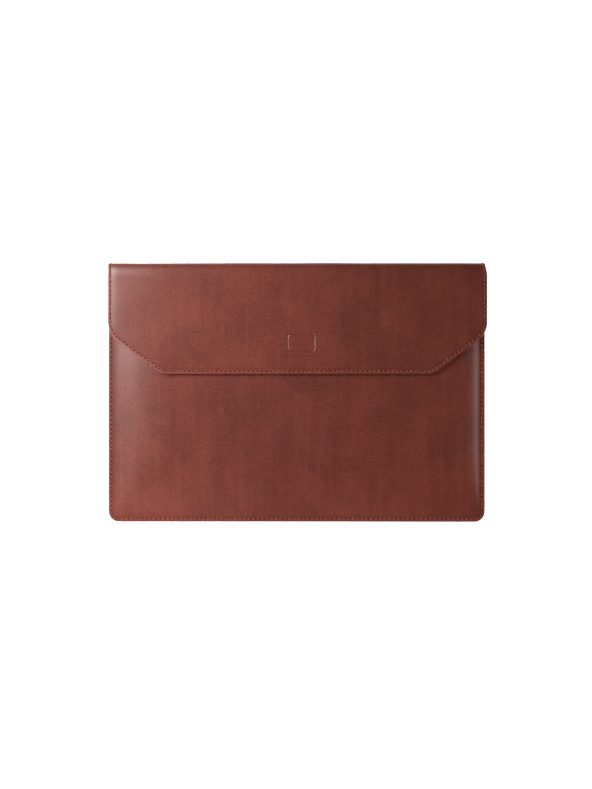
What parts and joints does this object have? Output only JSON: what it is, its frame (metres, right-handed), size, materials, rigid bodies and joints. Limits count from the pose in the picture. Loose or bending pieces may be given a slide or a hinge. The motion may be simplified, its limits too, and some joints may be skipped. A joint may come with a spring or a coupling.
{
  "type": "laptop sleeve",
  "caption": "Padded leather envelope sleeve for a slim laptop, with a stitched pocket and a fold-over flap with slanted corners and a hidden magnetic closure.",
  "frame": {"origin": "centre of the footprint on the surface that the sleeve lies on, under the closed sleeve", "axes": "+X to the right across the width, +Y from the bottom seam to the fold at the top, +Z out of the front, the sleeve lying on its back"},
  "size_m": [0.34, 0.2338, 0.0237],
  "materials": {
    "leather": "smooth reddish-brown full-grain leather with a soft sheen and fine pebble grain",
    "lining": "short-napped brown microfibre suede",
    "foam": "closed-cell padding sheet, hidden between leather and lining",
    "stiffener": "thin stiffening board, hidden inside the flap",
    "thread": "waxed tone-on-tone polyester thread",
    "magnet": "nickel-plated disc, hidden"
  },
  "bodies": {
    "sleeve": {"back_leather": "leather", "back_foam": "foam", "back_lining": "lining", "front_leather": "leather", "front_foam": "foam", "front_lining": "lining", "front_magnet_left": "magnet", "front_magnet_right": "magnet", "seam_thread_front": "thread", "seam_thread_back": "thread", "mouth_thread": "thread"},
    "spine": {"spine_leather": "leather", "spine_lining": "lining", "spine_thread_left": "thread", "spine_thread_right": "thread"},
    "flap": {"flap_leather": "leather", "flap_stiffener": "stiffener", "flap_lining": "lining", "flap_magnet_left": "magnet", "flap_magnet_right": "magnet", "flap_thread_front": "thread", "flap_thread_back": "thread"}
  },
  "joints": [
    {"name": "spine_fold", "type": "hinge", "parent": "sleeve", "child": "spine", "pos_m": [0, 0.11481, 0.00129], "axis": [-1, 0, 0], "range_deg": [0, 90]},
    {"name": "flap_fold", "type": "hinge", "parent": "spine", "child": "flap", "pos_m": [0, 0.11481, 0.02161], "axis": [-1, 0, 0], "range_deg": [0, 90]}
  ],
  "couplings": [
    {"joint": "flap_fold", "follows": "spine_fold", "ratio": 1}
  ]
}
